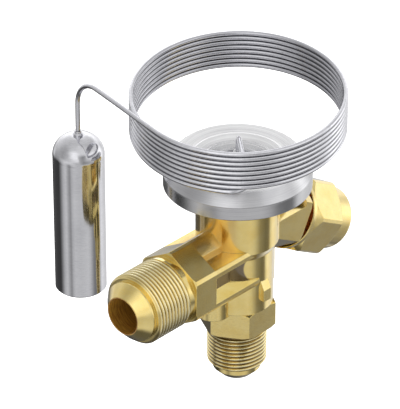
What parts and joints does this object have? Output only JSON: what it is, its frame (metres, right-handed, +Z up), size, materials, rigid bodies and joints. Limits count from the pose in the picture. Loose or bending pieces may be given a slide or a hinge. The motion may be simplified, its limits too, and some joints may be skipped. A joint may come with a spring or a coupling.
{
  "type": "thermostatic expansion valve",
  "caption": "Angle-pattern refrigerant expansion valve in brass with a steel diaphragm head, coiled capillary tube and sensing bulb.",
  "frame": {"origin": "centre of the inlet's mouth, at the bottom of the valve", "axes": "+Z up the main axis through the inlet and the head; the outlet points along -X; the setting spindle slopes down towards +X"},
  "size_m": [0.0832, 0.0714, 0.0874],
  "materials": {
    "brass": "fine machined brass",
    "stainless": "brushed stainless steel",
    "polished_steel": "polished stainless steel",
    "spring_steel": "drawn spring wire",
    "copper": "soft annealed copper",
    "rubber": "matte nitrile rubber"
  },
  "bodies": {
    "valve": {"valve_body": "brass", "orifice_housing": "brass", "orifice_seal": "rubber", "needle_spring": "spring_steel", "strainer_frame": "brass", "strainer_gauze": "stainless", "spindle_gland": "brass", "spindle_seal": "rubber", "head_lower_shell": "stainless", "diaphragm": "stainless", "head_upper_shell": "stainless", "capillary_ferrule": "stainless", "capillary_riser": "stainless", "capillary_coil": "stainless", "capillary_lead": "stainless", "bulb_ferrule": "polished_steel", "sensing_bulb": "polished_steel"},
    "needle_train": {"thrust_plate": "stainless", "push_pin": "stainless", "orifice_needle": "stainless"},
    "seat": {"spring_seat": "brass", "main_spring": "spring_steel"},
    "pusher": {"setting_pusher": "stainless"},
    "spindle": {"setting_spindle": "stainless"},
    "gasket": {"cap_gasket": "copper"},
    "cap": {"spindle_cap": "brass"}
  },
  "joints": [
    {"name": "valve_stroke", "type": "slide", "parent": "valve", "child": "needle_train", "axis": [0, 0, -1], "range_m": [0, 0.0006], "stiffness_N_per_m": 2000, "springref_m": -0.001, "deforming": ["main_spring", "needle_spring", "diaphragm"]},
    {"name": "seat_lift", "type": "slide", "parent": "valve", "child": "seat", "axis": [0, 0, 1], "range_m": [-0.00096, 0.00096], "deforming": ["main_spring"]},
    {"name": "pusher_travel", "type": "slide", "parent": "valve", "child": "pusher", "axis": [0.8788, 0, -0.4772], "range_m": [-0.002, 0.002]},
    {"name": "spindle_turn", "type": "hinge", "parent": "pusher", "child": "spindle", "pos_m": [0, 0, 0.05105], "axis": [0.8788, 0, -0.4772], "range_deg": [-720.5, 720.5]},
    {"name": "cap_travel", "type": "slide", "parent": "valve", "child": "gasket", "axis": [0.8788, 0, -0.4772], "range_m": [0, 0.012]},
    {"name": "cap_turn", "type": "hinge", "parent": "gasket", "child": "cap", "pos_m": [0, 0, 0.05105], "axis": [0.8788, 0, -0.4772], "range_deg": [-0.5, 2880.5]}
  ],
  "couplings": [
    {"joint": "spindle_turn", "follows": "pusher_travel", "rad_per_m": 6283.2},
    {"joint": "seat_lift", "follows": "pusher_travel", "ratio": -0.47716},
    {"joint": "cap_turn", "follows": "cap_travel", "rad_per_m": 4188.8}
  ]
}
